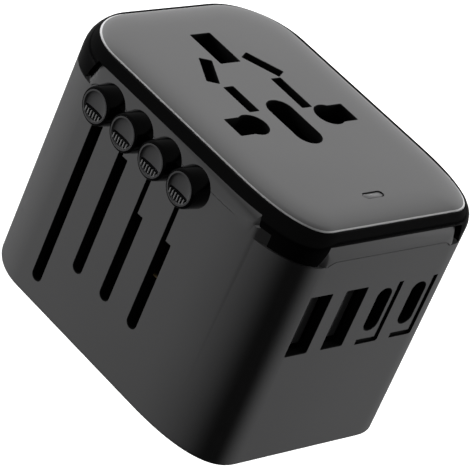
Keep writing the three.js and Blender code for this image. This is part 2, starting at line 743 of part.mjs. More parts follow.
// Two stacked E-shaped halves: a frame with two windows around the centre leg.
function transformerCore() {
  const { x, y, z, core: [wide, deep, high] } = TRANSFORMER;
  const windowHigh = high - 5;
  const windowWide = 4.2;
  const frameDeep = deep - 2;
  const across = (middle, size) => [middle - size / 2, middle + size / 2];
  const shape = box(across(x, wide), across(y, frameDeep), across(z, high));
  const leg = 2;
  return cut(shape, ...[-1, 1].map((side) => {
    const middle = x + side * (leg + windowWide / 2);
    return box(across(middle, windowWide), across(y, 2 * deep), across(z, windowHigh));
  }));
}

function transformerWinding() {
  const { x, y, z, core: [, deep] } = TRANSFORMER;
  const half = { wide: 5.6, deep: deep / 2 + 0.6, high: 3.5 };
  const leg = { wide: 2 + GAP, deep: deep / 2 - 1 + GAP };
  return cut(
    box([x - half.wide, x + half.wide], [y - half.deep, y + half.deep], [z - half.high, z + half.high]),
    box([x - leg.wide, x + leg.wide], [y - leg.deep, y + leg.deep], [z - half.high - 1, z + half.high + 1]),
  );
}

function capacitor(place, radius, high) {
  const low = 3.4;
  const profile = [
    [0, low], [radius - 0.3, low], [radius, low + 0.4], [radius, high - 2.4], [radius - 0.4, high - 2],
    [radius, high - 1.6], [radius, high - 0.4], [radius - 0.4, high], [0, high],
  ].map(([r, z]) => new THREE.Vector2(r, z));
  return solid(new THREE.LatheGeometry(profile, 16).rotateX(Math.PI / 2)).translate([...place, 0]);
}

const FUSE = { y: -28, z: 41.4, radius: 2.4, half: 10, cap: 4.5 };

function alongX(radius, from, to) {
  return solid(new THREE.CylinderGeometry(radius, radius, to - from, 16).rotateZ(Math.PI / 2))
    .translate([(from + to) / 2, FUSE.y, FUSE.z]);
}

function fuseClip(side) {
  const clip = { thick: 0.5, from: 6.4, to: 9.4, low: FUSE.z - FUSE.radius - GAP };
  const inner = FUSE.radius + GAP;
  const outer = inner + clip.thick;
  const xs = [side * clip.from, side * clip.to].sort((a, b) => a - b);
  return cut(
    box(xs, [FUSE.y - outer, FUSE.y + outer], [clip.low - clip.thick, FUSE.z + 1]),
    box([xs[0] - 1, xs[1] + 1], [FUSE.y - inner, FUSE.y + inner], [clip.low, FUSE.z + 2]),
  );
}

addPart('usb_board', usbBoard(), 'board');
PORTS_A.forEach((x, number) => {
  addPart(`usb_a_shell_${number + 1}`, portShell(x), 'nickel');
  addPart(`usb_a_tongue_${number + 1}`, portTongue(x), 'innerPlastic');
});
PORTS_C.forEach((x, number) => {
  addPart(`usb_c_shell_${number + 1}`, smallShell(x), 'nickel');
  addPart(`usb_c_tongue_${number + 1}`, smallTongue(x), 'innerPlastic');
});
addPart('transformer_core', transformerCore(), 'ferrite');
addPart('transformer_winding', transformerWinding(), 'tape');
addPart('input_capacitor', capacitor([9.5, -25.6], 4.6, 18), 'canMetal');
addPart('output_capacitor', capacitor([15.6, -29.4], 1.9, 13), 'canMetal');
addPart('fuse', alongX(FUSE.radius, -FUSE.half, FUSE.half), 'ceramic');
for (const [where, side] of Object.entries(SIDES)) addPart(`fuse_clip_${where}`, fuseClip(side), 'brass');
addPart('indicator_board', box([-6, 6], [-29, -24.7], [45.4, 46.4]), 'board');
addPart('indicator_led', box([-1.6, 1.6], [LENS.y - 0.8, LENS.y + 0.8], [46.7, 48.4]), 'ceramic');

export default adapter;
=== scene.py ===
"""Universal travel adapter: moulded casing, glossy ring, socket plate, slide knobs, plug pins and base.

Metres in the part's own frame. The dimensions below are in millimetres, as on the drawing.
"""
import json
import math

import bmesh
import bpy
from mathutils import Euler, Matrix, Vector


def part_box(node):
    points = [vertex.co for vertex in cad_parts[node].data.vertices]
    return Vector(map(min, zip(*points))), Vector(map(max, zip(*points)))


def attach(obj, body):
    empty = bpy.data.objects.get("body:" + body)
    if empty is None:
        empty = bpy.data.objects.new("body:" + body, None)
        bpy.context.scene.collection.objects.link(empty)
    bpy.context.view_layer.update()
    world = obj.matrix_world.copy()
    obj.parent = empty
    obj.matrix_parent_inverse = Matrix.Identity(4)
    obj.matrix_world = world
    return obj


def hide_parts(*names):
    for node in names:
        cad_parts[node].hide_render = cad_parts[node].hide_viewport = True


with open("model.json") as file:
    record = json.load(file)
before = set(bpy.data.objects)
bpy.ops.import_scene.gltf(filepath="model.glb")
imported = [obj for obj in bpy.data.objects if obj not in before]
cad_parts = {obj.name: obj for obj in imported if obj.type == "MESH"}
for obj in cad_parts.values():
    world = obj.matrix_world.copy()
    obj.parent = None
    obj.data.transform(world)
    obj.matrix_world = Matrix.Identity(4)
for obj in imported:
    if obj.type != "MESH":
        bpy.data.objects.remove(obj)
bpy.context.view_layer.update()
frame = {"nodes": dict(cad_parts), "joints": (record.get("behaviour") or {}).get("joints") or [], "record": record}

MM = 0.001
UP = (0, 0, 1)


def corners(node):
    """A node's lowest and highest corner, in millimetres."""
    low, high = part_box(node)
    return low / MM, high / MM


# ---------------------------------------------------------------- dimensions

SHELL_HIGH = corners("outer_shell")[1]
PLATE_LOW, PLATE_HIGH = corners("socket_plate")
RING_LOW = corners("top_ring")[0]
BASE_LOW, BASE_HIGH = corners("base_plate")
LENS_LOW, LENS_HIGH = corners("status_lens")

HALF_WIDTH = SHELL_HIGH.x
HALF_DEPTH = SHELL_HIGH.y
FRONT_Y = -HALF_DEPTH
LEFT_X = -HALF_WIDTH

CORNER_ACROSS = 10        # front corners: how far they reach across the front
CORNER_ALONG = 20.5       # and how far they reach back along the sides
SLOW_PROFILE = 0.574      # gives the front corner its slow start
CORNER_STEPS = 24
BACK_RADIUS = 14
WALL = 1.8
BOTTOM_EDGE = 1.2
FLAT_ANGLE = 0.004

SPLIT_Z = 44.2            # where the casing ends at its corners and the ring begins
SIDE_TAB = {"from": -23.6, "to": 22, "top": SHELL_HIGH.z, "band": 3, "round": 2.2}
END_TAB = {"from": -16.4, "to": 16.6, "top": 48.3, "band": 3.1, "round": 2.0}
TAB_SPREAD = 4            # each end of a tab's drawing reaches this much further at its foot
TAB_FOOT = 7              # and its drawing runs this far down into the casing
TAB_LAP = 2               # of which this much is kept
TAB_LEAN = 1.5
TAB_WALL = 2.4
TAB_SIDE_BAND = 1.6
TOE = {"from": 22.8, "to": 26.8, "top": 46.8, "drop": (0.02, 2.4)}   # low front end of a side tab
SEAM = 0.12               # groove round a tab's flat, and the gap to the ring

PLATE_INSET = (HALF_WIDTH - PLATE_HIGH.x, HALF_DEPTH - PLATE_HIGH.y)
PLATE_EDGE_Z = PLATE_HIGH.z - 0.8
# how far in from the plate's edge, and how far up by then
PLATE_SHOULDER = ((0.3, 0.2), (1.3, 0.44), (2.4, 0.61), (3.8, 0.73), (5.5, 0.8))

SOCKET_Y = -3.2
HOLE_DEPTH = 8
EARTH_SLOT = {"up": 22.23, "size": (4.8, 9)}
BLADE_SLOTS = {"x": 6.3, "up": 7.27, "left": (2.3, 7.46), "right": (2.3, 8.96)}
SLANT_SLOTS = {"x": 6.71, "up": 16.08, "size": (2.4, 7.54), "turn": 29}
OVAL = {"up": -0.65, "size": (5.5, 13)}
PIN_HOLES = {"square_x": 11.825, "square": (5.65, 4.8), "round_x": 9.5, "round": (5.8, 5.8)}
FLARE = 0.12

LANES = {"eu": 45.7, "uk": 37.5, "au": 31.0, "us": 31.0}   # where each slot narrows to a slit
LANE_TOP = 45.7
LANE_WIDTH = 2.4
SLIT_WIDTH = 0.9
LANE_SPARE = 2.14         # room under the knob's stem at the end of its travel

PORT_LOW, PORT_HIGH = 24.9, 37.7
SMALL_PORT_LOW, SMALL_PORT_HIGH = 27.3, 36.6
WIDE_PORT, SMALL_PORT = 5.3, 3.44
WIDE_PORTS = (-13.3, -4.4)
SMALL_PORTS = (3.73, 12.6)
GROOVES = ((1.76, 6.9), (10.63, 15.8))
GROOVE_WIDTH = 1.15
GROOVE_DEPTH = 0.6

# ---------------------------------------------------------------- hand tools

FACES = {
    "top": Matrix.Identity(4),
    "bottom": Matrix.Rotation(math.pi, 4, "X"),
    "front": Matrix.Rotation(math.pi / 2, 4, "X"),
    "left": Matrix.Rotation(-math.pi / 2, 4, "Z") @ Matrix.Rotation(math.pi / 2, 4, "X"),
    "right": Matrix.Rotation(math.pi / 2, 4, "Z") @ Matrix.Rotation(math.pi / 2, 4, "X"),
    "back": Matrix.Rotation(math.pi, 4, "Z") @ Matrix.Rotation(math.pi / 2, 4, "X"),
}


def deselect():
    bpy.ops.object.select_all(action="DESELECT")


def take_up(piece):
    deselect()
    piece.select_set(True)
    bpy.context.view_layer.objects.active = piece


def open_mesh(piece):
    take_up(piece)
    bpy.ops.object.mode_set(mode="EDIT")
    bpy.ops.mesh.select_all(action="DESELECT")


def close_mesh():
    bpy.ops.object.mode_set(mode="OBJECT")


def select_faces(piece, rule):
    bpy.ops.mesh.select_mode(type="FACE")
    bpy.ops.mesh.select_all(action="DESELECT")
    shape = bmesh.from_edit_mesh(piece.data)
    for face in shape.faces:
        if rule(face):
            face.select_set(True)
    bmesh.update_edit_mesh(piece.data)


def select_edges(piece, rule):
    bpy.ops.mesh.select_mode(type="EDGE")
    bpy.ops.mesh.select_all(action="DESELECT")
    shape = bmesh.from_edit_mesh(piece.data)
    for edge in shape.edges:
        if rule(edge):
            edge.select_set(True)
    bmesh.update_edit_mesh(piece.data)


def select_corners(piece, rule):
    bpy.ops.mesh.select_mode(type="VERT")
    bpy.ops.mesh.select_all(action="DESELECT")
    shape = bmesh.from_edit_mesh(piece.data)
    for corner in shape.verts:
        if rule(corner):
            corner.select_set(True)
    bmesh.update_edit_mesh(piece.data)


def facing(direction):
    return lambda face: face.normal.dot(Vector(direction)) > 0.99


def along(direction):
    def rule(edge):
        span = (edge.verts[1].co - edge.verts[0].co).normalized()
        return abs(span.dot(Vector(direction))) > 0.999
    return rule


def middle(edge):
    return (edge.verts[0].co + edge.verts[1].co) / 2 / MM


def block(name, low, high):
    """A plain block between two corners, as the start of a piece."""
    low, high = Vector(low) * MM, Vector(high) * MM
    deselect()
    bpy.ops.mesh.primitive_cube_add(size=1, location=(low + high) / 2, scale=high - low)
    piece = bpy.context.object
    piece.name = piece.data.name = name
    bpy.ops.object.transform_apply(location=True, rotation=True, scale=True)
    return piece


def rod(name, radius, low, high, sides=48):
    """A round bar standing on its own axis, as the start of a piece."""
    deselect()
    bpy.ops.mesh.primitive_cylinder_add(
        vertices=sides, radius=radius * MM, depth=(high - low) * MM, location=(0, 0, (low + high) / 2 * MM)
    )
    piece = bpy.context.object
    piece.name = piece.data.name = name
    bpy.ops.object.transform_apply(location=True, rotation=True, scale=True)
    return piece


def slide(x=0, y=0, z=0):
    bpy.ops.transform.translate(value=(x * MM, y * MM, z * MM))


def widen(x=1, y=1, z=1, about=(0, 0, 0)):
    bpy.ops.transform.resize(value=(x, y, z), center_override=tuple(Vector(about) * MM))


def draw_out(x=0, y=0, z=0):
    bpy.ops.mesh.extrude_region_move(TRANSFORM_OT_translate={"value": (x * MM, y * MM, z * MM)})


def inset(width, depth=0):
    bpy.ops.mesh.inset(thickness=width * MM, depth=depth * MM)


def round_edges(width, steps=4, profile=0.5):
    bpy.ops.mesh.bevel(offset=width * MM, segments=steps, profile=profile, affect="EDGES", clamp_overlap=True)


def cut_flat(point, normal, clear=False):
    bpy.ops.mesh.select_all(action="SELECT")
    bpy.ops.mesh.bisect(
        plane_co=tuple(Vector(point) * MM), plane_no=normal, clear_outer=clear, use_fill=clear
    )


def settle(piece, place=None):
    """Puts the piece where it belongs and makes that its own shape."""
    if place is not None:
        piece.matrix_world = place
    take_up(piece)
    bpy.ops.object.transform_apply(location=True, rotation=True, scale=True)
    return piece


def on_face(piece, face, centre, turn=0):
    """Places a tool drawn flat, with its own Z outwards, on one face of the body."""
    place = Matrix.Translation(Vector(centre) * MM) @ FACES[face] @ Matrix.Rotation(turn, 4, "Z")
    return settle(piece, place)


def copy_of(piece, name):
    twin = piece.copy()
    twin.data = piece.data.copy()
    twin.name = twin.data.name = name
    bpy.context.collection.objects.link(twin)
    return twin


def combine(piece, tool, how="DIFFERENCE"):
    take_up(piece)
    step = piece.modifiers.new("combine", "BOOLEAN")
    step.operation = how
    step.object = tool
    step.solver = "MANIFOLD"
    step.material_mode = "TRANSFER"
    bpy.ops.object.modifier_apply(modifier=step.name)
    spare = tool.data
    bpy.data.objects.remove(tool)
    bpy.data.meshes.remove(spare)
    return piece


def clean(piece):
    """Merges stray doubles and flat splits left by the cuts."""
    open_mesh(piece)
    bpy.ops.mesh.select_all(action="SELECT")
    bpy.ops.mesh.remove_doubles(threshold=0.002 * MM)
    bpy.ops.mesh.dissolve_degenerate(threshold=0.001 * MM)
    close_mesh()


def finish(piece, body, slot, *nodes, angle=32):
    """Smooth shading that keeps the edges, the body it moves with, and what it stands for; its finish is passed in
    but not used.
    """
    take_up(piece)
    bpy.ops.object.shade_smooth_by_angle(angle=math.radians(angle))
    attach(piece, body)
    if nodes:
        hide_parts(*nodes)
    return piece


def paint(piece, *names):
    piece.data.materials.clear()
    for name in names:
        piece.data.materials.append(FINISHES[name])
    return piece


def paint_faces(piece, rule, number):
    for face in piece.data.polygons:
        if rule(face):
            face.material_index = number


# ---------------------------------------------------------------- shared effects

def new_group(name, inputs, outputs):
    group = bpy.data.node_groups.new(name, "ShaderNodeTree")
    for label, kind in inputs:
        group.interface.new_socket(name=label, in_out="INPUT", socket_type=kind)
    for label, kind in outputs:
        group.interface.new_socket(name=label, in_out="OUTPUT", socket_type=kind)
    return group, group.nodes.new("NodeGroupInput"), group.nodes.new("NodeGroupOutput")


def sum_of(tree, *parts):
    """Chains Math nodes: (operation, first, second) where a value is a socket or a number."""
    result = None
    for operation, first, second in parts:
        node = tree.nodes.new("ShaderNodeMath")
        node.operation = operation
        for socket, value in zip(node.inputs, (result if first is None else first, second)):
            if isinstance(value, (int, float)):
                socket.default_value = value
            else:
                tree.links.new(value, socket)
        result = node.outputs[0]
    return result


def noise(tree, scale, detail, coords):
    node = tree.nodes.new("ShaderNodeTexNoise")
    node.inputs["Detail"].default_value = detail
    if isinstance(scale, (int, float)):
        node.inputs["Scale"].default_value = scale
    else:
        tree.links.new(scale, node.inputs["Scale"])
    tree.links.new(coords, node.inputs["Vector"])
    return node.outputs["Fac"]


def moulded_grain():
    """Fine moulded grain, with slow clouds in tone and gloss as handled plastic has."""
    number, colour = "NodeSocketFloat", "NodeSocketColor"
    group, given, result = new_group(
        "moulded_grain",
        [("Colour", colour), ("Tone spread", number), ("Roughness", number),
         ("Gloss spread", number), ("Grain", number), ("Clouds", number)],
        [("Colour", colour), ("Roughness", number), ("Height", number)],
    )
    links = group.links
    where = group.nodes.new("ShaderNodeTexCoord").outputs["Object"]
    fine = noise(group, given.outputs["Grain"], 3, where)
    slow = noise(group, given.outputs["Clouds"], 4, where)
    centred = sum_of(group, ("SUBTRACT", slow, 0.5), ("MULTIPLY", None, 2))
    speck = sum_of(group, ("SUBTRACT", fine, 0.5), ("MULTIPLY", None, 0.7))
    both = sum_of(group, ("ADD", centred, speck))
    tone = sum_of(group, ("MULTIPLY", both, given.outputs["Tone spread"]), ("ADD", None, 1))
    scaled = group.nodes.new("ShaderNodeVectorMath")
    scaled.operation = "SCALE"
    links.new(given.outputs["Colour"], scaled.inputs[0])
    links.new(tone, scaled.inputs["Scale"])
    gloss = sum_of(
        group, ("MULTIPLY", both, given.outputs["Gloss spread"]), ("ADD", None, given.outputs["Roughness"])
    )
    links.new(scaled.outputs[0], result.inputs["Colour"])
    links.new(gloss, result.inputs["Roughness"])
    links.new(fine, result.inputs["Height"])
    return group


def fine_scuffs():
    """Thin rubbed lines, as sliding and pocket wear leave on plastic and metal."""
    number = "NodeSocketFloat"
    group, given, result = new_group(
        "fine_scuffs", [("Size", number), ("Amount", number)], [("Mask", number)]
    )
    where = group.nodes.new("ShaderNodeTexCoord").outputs["Object"]
    turned = group.nodes.new("ShaderNodeMapping")
    turned.inputs["Rotation"].default_value = (0.5, 0.35, 0.9)
    turned.inputs["Scale"].default_value = (1, 0.06, 0.35)
    group.links.new(where, turned.inputs["Vector"])
    lines = noise(group, given.outputs["Size"], 2, turned.outputs["Vector"])
    patches = noise(group, 90, 2, where)
    sharp = sum_of(
        group, ("SUBTRACT", lines, 0.62), ("MULTIPLY", None, 9), ("MAXIMUM", None, 0), ("MINIMUM", None, 1)
    )
    where_worn = sum_of(group, ("SUBTRACT", patches, 0.45), ("MULTIPLY", None, 4), ("MAXIMUM", None, 0))
    mask = sum_of(group, ("MULTIPLY", sharp, where_worn), ("MULTIPLY", None, given.outputs["Amount"]))
    group.links.new(mask, result.inputs["Mask"])
    return group


GRAIN = moulded_grain()
SCUFFS = fine_scuffs()

# ---------------------------------------------------------------- finishes

# colour, tone spread, roughness, gloss spread, grain per metre, clouds per metre,
# bump height in micrometres, scuff amount, metallic, specular level
LOOKS = {
    "shell_plastic": ((0.070, 0.070, 0.071), 0.05, 0.56, 0.05, 5200, 45, 9, 0.25, 0, 0.4),
    "plate_plastic": ((0.160, 0.160, 0.161), 0.04, 0.60, 0.05, 5600, 40, 9, 0.25, 0, 0.4),
    # a lighter, glossier finish for the plate's edge facet: a painted highlight line
    "plate_edge_painted_highlight": ((0.560, 0.560, 0.563), 0.03, 0.40, 0.05, 5200, 60, 4, 0.2, 0, 0.5),
    "gloss_black": ((0.0012, 0.0012, 0.0013), 0.10, 0.16, 0.03, 900, 60, 1, 0.5, 0, 0.16),
    "knob_face": ((0.045, 0.045, 0.046), 0.08, 0.42, 0.05, 3800, 120, 5, 0.4, 0, 0.4),
    "knob_mark": ((0.130, 0.130, 0.131), 0.08, 0.45, 0.05, 3800, 120, 5, 0.4, 0, 0.4),
    # near black; on the walls of cut holes, slots, ports and grooves, on the ribs and on the casing's inside it is
    # painted shade, as those are the casing's and plate's own plastic
    "inner_plastic": ((0.0035, 0.0035, 0.0036), 0.10, 0.62, 0.05, 4200, 80, 8, 0.2, 0, 0.25),
    "frame_plastic": ((0.010, 0.010, 0.0105), 0.10, 0.60, 0.05, 4200, 80, 8, 0.2, 0, 0.3),
    # grey tongue plastic, made lighter than its own tone so it shows in the shade inside the port: painted light
    "tongue_plastic_painted_light": ((0.120, 0.120, 0.122), 0.08, 0.50, 0.05, 4600, 120, 4, 0.3, 0, 0.5),
    "sleeve_plastic": ((0.010, 0.010, 0.0105), 0.08, 0.42, 0.05, 4600, 120, 5, 0.6, 0, 0.5),
    "brass": ((0.70, 0.50, 0.20), 0.06, 0.30, 0.07, 2600, 150, 2, 0.9, 1, 0.5),
    "nickel": ((0.58, 0.57, 0.55), 0.05, 0.27, 0.07, 2600, 150, 2, 0.9, 1, 0.5),
    "port_metal": ((0.030, 0.030, 0.031), 0.08, 0.42, 0.06, 2600, 150, 2, 0.5, 1, 0.5),
    "steel": ((0.32, 0.32, 0.33), 0.08, 0.34, 0.08, 3000, 200, 2, 0.8, 1, 0.5),
    "circuit_board": ((0.008, 0.060, 0.022), 0.12, 0.45, 0.08, 2200, 300, 10, 0.2, 0, 0.5),
    "ferrite": ((0.022, 0.022, 0.024), 0.16, 0.75, 0.06, 3000, 300, 20, 0.2, 0, 0.4),
    "tape": ((0.55, 0.36, 0.04), 0.08, 0.42, 0.06, 1500, 200, 6, 0.2, 0, 0.5),
    "can": ((0.035, 0.038, 0.045), 0.08, 0.32, 0.06, 2400, 200, 3, 0.4, 0.2, 0.5),
    "ceramic": ((0.70, 0.69, 0.64), 0.04, 0.30, 0.05, 2400, 150, 3, 0.2, 0, 0.5),
    "lens": ((0.200, 0.200, 0.203), 0.03, 0.22, 0.04, 2400, 150, 1, 0.2, 0, 0.5),
}


def shader(name):
    """The surface of one finish: its grain and clouds, with scuffs that dull the gloss."""
    colour, tone, rough, gloss, grain, clouds, bump_height, scuff, metallic, specular = LOOKS[name]
    finish_of = bpy.data.materials.new(name)
    finish_of.use_nodes = True
    tree = finish_of.node_tree
    surface = tree.nodes["Principled BSDF"]
    surface.inputs["Metallic"].default_value = metallic
    surface.inputs["Specular IOR Level"].default_value = specular
    grained = tree.nodes.new("ShaderNodeGroup")
    grained.node_tree = GRAIN
    given = {
        "Colour": (*colour, 1), "Tone spread": tone, "Roughness": rough,
        "Gloss spread": gloss, "Grain": grain, "Clouds": clouds,
    }
    for label, value in given.items():
        grained.inputs[label].default_value = value
    worn = tree.nodes.new("ShaderNodeGroup")
    worn.node_tree = SCUFFS
    worn.inputs["Size"].default_value = grain / 4
    worn.inputs["Amount"].default_value = scuff
    dulled = sum_of(
        tree, ("MULTIPLY", worn.outputs["Mask"], 0.12), ("ADD", None, grained.outputs["Roughness"])
    )
    scratched = sum_of(
        tree, ("MULTIPLY", worn.outputs["Mask"], -0.4), ("ADD", None, grained.outputs["Height"])
    )
    bump = tree.nodes.new("ShaderNodeBump")
    bump.inputs["Strength"].default_value = 0.6
    bump.inputs["Distance"].default_value = bump_height * MM * MM
    tree.links.new(scratched, bump.inputs["Height"])
    tree.links.new(grained.outputs["Colour"], surface.inputs["Base Color"])
    tree.links.new(dulled, surface.inputs["Roughness"])
    tree.links.new(bump.outputs["Normal"], surface.inputs["Normal"])
    return finish_of


FINISHES = {name: shader(name) for name in LOOKS}

# ---------------------------------------------------------------- the body's plan

def plan_block(name, low_z, high_z, inset_by=(0, 0)):
    """A block with the adapter's plan: round back corners, slow front corners."""
    half_x, half_y = HALF_WIDTH - inset_by[0], HALF_DEPTH - inset_by[1]
    share = (CORNER_ACROSS - inset_by[0]) / half_x
    reach_y = (CORNER_ALONG - inset_by[1]) / share - half_y
    piece = block(name, (-half_x, -half_y, low_z), (half_x, half_y, high_z))
    upright = along(UP)
    open_mesh(piece)
    cut_flat((0, 0, 0), (1, 0, 0))
    cut_flat((0, reach_y, 0), (0, 1, 0))
    select_edges(piece, lambda e: upright(e) and middle(e).y < 1 - half_y and abs(middle(e).x) > 1)
    bpy.ops.mesh.bevel(
        offset_type="PERCENT", offset_pct=100 * share, segments=CORNER_STEPS,
        profile=SLOW_PROFILE, affect="EDGES"
    )
    bpy.ops.mesh.select_all(action="SELECT")
    bpy.ops.mesh.dissolve_limited(angle_limit=FLAT_ANGLE)
    select_edges(piece, lambda e: upright(e) and middle(e).y > half_y - 1 and abs(middle(e).x) > half_x - 1)
    round_edges(BACK_RADIUS - inset_by[0], CORNER_STEPS)
    close_mesh()
    return piece


def step_in(piece, level_z, rise, from_inset, to_inset):
    """Draws the top face up and in, keeping the plan."""
    half = [(HALF_WIDTH - x, HALF_DEPTH - y) for x, y in (from_inset, to_inset)]
    draw_out(z=rise)
    widen(half[1][0] / half[0][0], half[1][1] / half[0][1], 1, (0, 0, level_z))


# ---------------------------------------------------------------- cutting tools

def hole_tool(size, depth, corner=0.0, flare=FLARE):
    """A slot cutter drawn flat: its outline below the surface, and a small flare at the surface."""
    wide, high = size
    tool = block("tool", (-wide / 2, -high / 2, -depth), (wide / 2, high / 2, -flare))
    open_mesh(tool)
    if corner:
        select_edges(tool, along(UP))
        round_edges(min(corner, min(size) * 0.499), 10)
    select_faces(tool, facing(UP))
    draw_out(z=flare)
    widen((wide + 2 * flare) / wide, (high + 2 * flare) / high, 1)
    draw_out(z=1)
    close_mesh()
    # The cutter's near-black inner_plastic passes to the walls it cuts: painted shade inside every hole, slot and
    # port.
    return paint(tool, "inner_plastic")


def cut_hole(piece, face, centre, size, depth, corner=0.0, turn=0.0, flare=FLARE):
    combine(piece, on_face(hole_tool(size, depth, corner, flare), face, centre, turn))


def tab_tool(tab, start, end, flat):
    """One tab's form, drawn flat: a sloping band round a raised flat, with a fine groove between."""
    foot, top = SPLIT_Z - TAB_FOOT, tab["top"]
    tool = block("tab", (start - TAB_SPREAD, foot, -2 * TAB_LEAN), (end + TAB_SPREAD, top, -TAB_LEAN))
    centre = (start + end) / 2
    open_mesh(tool)
    select_faces(tool, facing((0, 1, 0)))
    widen((end - start) / (end - start + 2 * TAB_SPREAD), 1, 1, (centre, top, 0))
    select_faces(tool, facing(UP))
    if flat:
        inset(TAB_SIDE_BAND)
        slide(z=TAB_LEAN)
        low = foot + TAB_SIDE_BAND
        widen(1, (top - tab["band"] - low) / (top - TAB_SIDE_BAND - low), 1, (centre, low, 0))
        select_corners(tool, lambda v: v.co.z > -0.1 * MM and v.co.y > (low + 0.5) * MM)
        bpy.ops.mesh.bevel(offset=tab["round"] * MM, segments=6, affect="VERTICES")
        select_faces(tool, facing(UP))
        inset(SEAM, -SEAM * 1.5)
        inset(SEAM / 2, SEAM * 1.5)
    draw_out(z=2)
    close_mesh()
    return paint(tool, "shell_plastic")


def toe_tool(direction, flat):
    """The low front end of a side tab, which slopes in under the ring's front leg."""
    near, far, (drop_near, drop_far) = TOE["from"], TOE["to"], TOE["drop"]
    foot, top = SPLIT_Z - TAB_LAP, TOE["top"]
    toe = block("toe", (near, foot, -3.6), (far, top, 1))
    open_mesh(toe)
    if flat:
        select_edges(toe, lambda e: middle(e).z > 0.9 and abs(middle(e).x - near) < 0.01)
        slide(z=-1 - drop_near)
        select_edges(toe, lambda e: middle(e).z > 0.9 and abs(middle(e).x - far) < 0.01)
        slide(z=-1 - drop_far)
        crease = SIDE_TAB["top"] - SIDE_TAB["band"]
        cut_flat((0, crease, 0), (0, TAB_LEAN, SIDE_TAB["band"]), clear=True)
    bpy.ops.mesh.select_all(action="SELECT")
    widen(direction, 1, 1)
    bpy.ops.mesh.normals_make_consistent(inside=False)
    close_mesh()
    return paint(toe, "shell_plastic")


def tab_tools(flat=True):
    """The four tabs' forms joined as one tool."""
    side, end = (SIDE_TAB["from"], SIDE_TAB["to"]), (END_TAB["from"], END_TAB["to"])
    left = combine(tab_tool(SIDE_TAB, -side[1], -side[0], flat), toe_tool(1, flat), "UNION")
    right = combine(tab_tool(SIDE_TAB, side[0], side[1], flat), toe_tool(-1, flat), "UNION")
    tools = [
        on_face(left, "left", (LEFT_X, 0, 0)),
        on_face(right, "right", (-LEFT_X, 0, 0)),
        on_face(tab_tool(END_TAB, end[0], end[1], flat), "front", (0, FRONT_Y, 0)),
        on_face(tab_tool(END_TAB, -end[1], -end[0], flat), "back", (0, -FRONT_Y, 0)),
    ]
    deselect()
    for tool in tools:
        tool.select_set(True)
    bpy.context.view_layer.objects.active = tools[0]
    bpy.ops.object.join()
    return tools[0]


def groove_tool(left, right):
    """The thin angled groove beside a small port."""
    half = GROOVE_WIDTH / 2
    tool = block("tool", (left, PORT_LOW - half, -GROOVE_DEPTH), (right + half, PORT_LOW + half, 1))
    open_mesh(tool)
    cut_flat((right - half, 0, 0), (1, 0, 0))
    select_faces(tool, lambda f: facing((0, 1, 0))(f) and f.calc_center_median().x / MM > right - half)
    draw_out(y=PORT_HIGH - PORT_LOW - half)
    outer = lambda e: along(UP)(e) and middle(e).x > right and middle(e).y < PORT_LOW
    select_edges(tool, outer)
    round_edges(half, 4)
    close_mesh()
    # Near-black walls in the groove: painted shade in the crease.
    return paint(tool, "inner_plastic")


# ---------------------------------------------------------------- casing

def centre_of(node):
    low, high = corners(node)
    return (low + high) / 2


def travel(name):
    joint = next(row for row in frame["joints"] if row["name"] == name + "_slide")
    return joint["range_m"][1] / MM


def cut_lane(casing, name, slit_z):
    """A knob's slot: full width low down with a round end, and a slit above."""
    stem, half = centre_of(name + "_knob_spring"), LANE_WIDTH / 2
    y, low = stem.y, stem.z - travel(name) - LANE_SPARE
    wide_high = slit_z - low
    if slit_z >= LANE_TOP:
        cut_hole(casing, "left", (LEFT_X, y, low + wide_high / 2), (LANE_WIDTH, wide_high), HOLE_DEPTH, half)
        return
    tool = hole_tool((LANE_WIDTH, wide_high + half), HOLE_DEPTH, half)
    open_mesh(tool)
    bpy.ops.mesh.select_all(action="SELECT")
    bpy.ops.mesh.bisect(
        plane_co=(0, wide_high / 2 * MM, 0), plane_no=(0, 1, 0), clear_outer=True, use_fill=True
    )
    close_mesh()
    combine(casing, on_face(tool, "left", (LEFT_X, y, low + (wide_high + half) / 2)))
    slit_y = y + half - SLIT_WIDTH / 2
    slit_low = slit_z - 1
    slit_middle = (LEFT_X, slit_y, (LANE_TOP + slit_low) / 2)
    cut_hole(casing, "left", slit_middle, (SLIT_WIDTH, LANE_TOP - slit_low), HOLE_DEPTH)


# across the wall, up the wall, and how far in from its outer face
RIBS_INSIDE = (
    ((19, 20), (BASE_HIGH.z + 0.3, 14), 6.8),
    ((-4.2, -3.6), (12.5, 19), 7.8),
)


def add_rib(piece, low, high):
    """A thin inner rib that closes the line of sight through a knob's slot and out of the base."""
    rib = block("rib", low, high)
    open_mesh(rib)
    select_faces(rib, facing(UP))
    inset(0.15)
    draw_out(z=0.15)
    close_mesh()
    # The rib is near-black inner_plastic: a painted shade sheet behind the slot.
    combine(piece, paint(rib, "inner_plastic"), "UNION")


